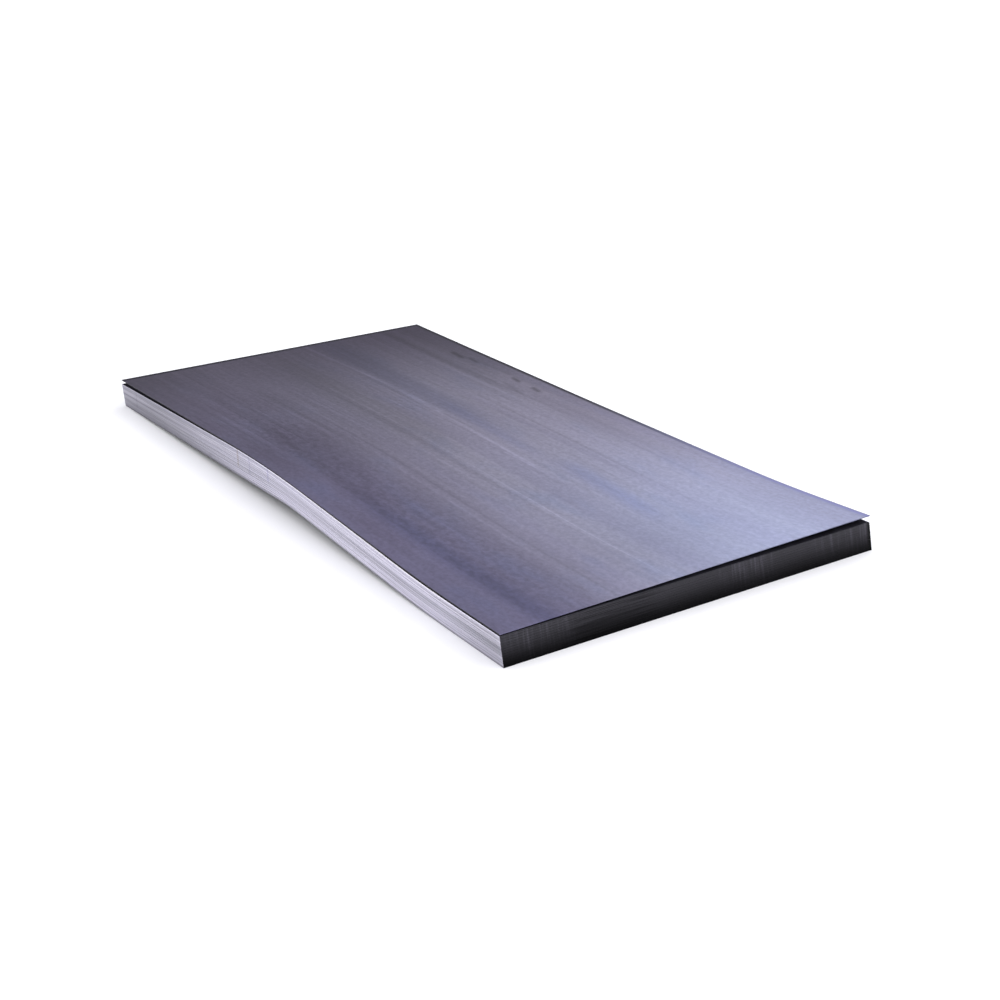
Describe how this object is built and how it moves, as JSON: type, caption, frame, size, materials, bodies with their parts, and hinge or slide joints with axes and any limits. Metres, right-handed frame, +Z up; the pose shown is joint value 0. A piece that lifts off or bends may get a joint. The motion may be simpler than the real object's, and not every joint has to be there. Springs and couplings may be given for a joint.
{
  "type": "pack of steel sheets",
  "caption": "Low pack of thin rolled steel sheets, bowed up along one long side, with a loose top sheet that lifts at its corners.",
  "frame": {"origin": "middle of the pack in plan, at the floor", "axes": "+X along the sheets' length towards the end that lies flat, +Y across them towards the straight long side, +Z up"},
  "size_m": [2.517, 1.2506, 0.1255],
  "materials": {
    "sheared_steel": "bright cut edges with fine shear marks, mill scale on the faces",
    "mill_scale_steel": "satin blue-grey mill scale with streaks along the rolling direction"
  },
  "bodies": {
    "root": {"stacked_sheets": "sheared_steel", "top_sheet": "mill_scale_steel"}
  },
  "joints": []
}
